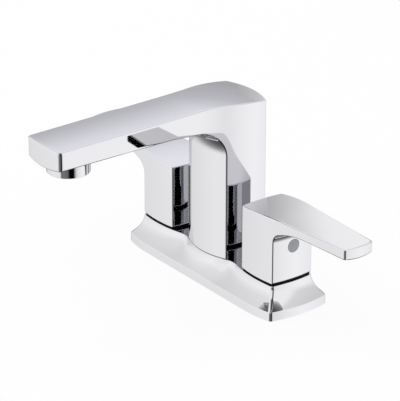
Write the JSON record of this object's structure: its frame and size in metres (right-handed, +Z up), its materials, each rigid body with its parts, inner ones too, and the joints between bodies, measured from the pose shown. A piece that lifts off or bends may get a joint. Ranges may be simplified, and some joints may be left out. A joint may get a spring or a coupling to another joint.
{
  "type": "centerset bathroom faucet",
  "caption": "Deck-mounted centerset basin faucet: lever handles either side of a fixed, squared high-arch spout on one flared deck plate, with ceramic-disc valves and threaded shanks.",
  "frame": {"origin": "on the deck surface, midway between the two valve axes", "axes": "+X towards the valve on the user's right, -Y along the spout towards the user, +Z up"},
  "size_m": [0.2572, 0.1598, 0.173],
  "materials": {
    "chrome": "polished chrome plate",
    "brass": "machined brass",
    "copper_tube": "drawn copper tube",
    "steel": "stainless steel",
    "black_rubber": "moulded rubber",
    "black_plastic": "moulded nylon",
    "grey_plastic": "moulded, glossy",
    "white_plastic": "moulded acetal",
    "ceramic": "lapped alumina"
  },
  "bodies": {
    "root": {"deck_plate": "chrome", "deck_gasket": "black_rubber", "spout_body": "chrome", "spout_screws": "steel", "spout_seal_ring": "black_rubber", "spout_tee": "brass", "aerator_housing": "chrome", "aerator_insert": "white_plastic", "aerator_washer": "black_rubber", "left_waterway_tube": "copper_tube", "right_waterway_tube": "copper_tube", "left_valve_body": "brass", "right_valve_body": "brass", "left_cartridge_body": "brass", "right_cartridge_body": "brass", "left_seat_seal": "black_rubber", "right_seat_seal": "black_rubber", "left_lower_disc": "ceramic", "right_lower_disc": "ceramic", "left_stem_ring": "black_rubber", "right_stem_ring": "black_rubber", "left_bonnet_nut": "brass", "right_bonnet_nut": "brass", "left_deck_washer": "black_rubber", "right_deck_washer": "black_rubber", "left_mounting_nut": "brass", "right_mounting_nut": "brass"},
    "left_lever": {"left_handle": "chrome", "left_index_button": "grey_plastic", "left_set_screw": "steel", "left_stem": "brass", "left_upper_disc": "ceramic", "left_glide_ring": "black_plastic"},
    "right_lever": {"right_handle": "chrome", "right_index_button": "grey_plastic", "right_set_screw": "steel", "right_stem": "brass", "right_upper_disc": "ceramic", "right_glide_ring": "black_plastic"}
  },
  "joints": [
    {"name": "left_lever_turn", "type": "hinge", "parent": "root", "child": "left_lever", "pos_m": [-0.0508, 0, 0.0207], "axis": [0, 0, 1], "range_deg": [0, 90]},
    {"name": "right_lever_turn", "type": "hinge", "parent": "root", "child": "right_lever", "pos_m": [0.0508, 0, 0.0207], "axis": [0, 0, 1], "range_deg": [-90, 0]}
  ]
}
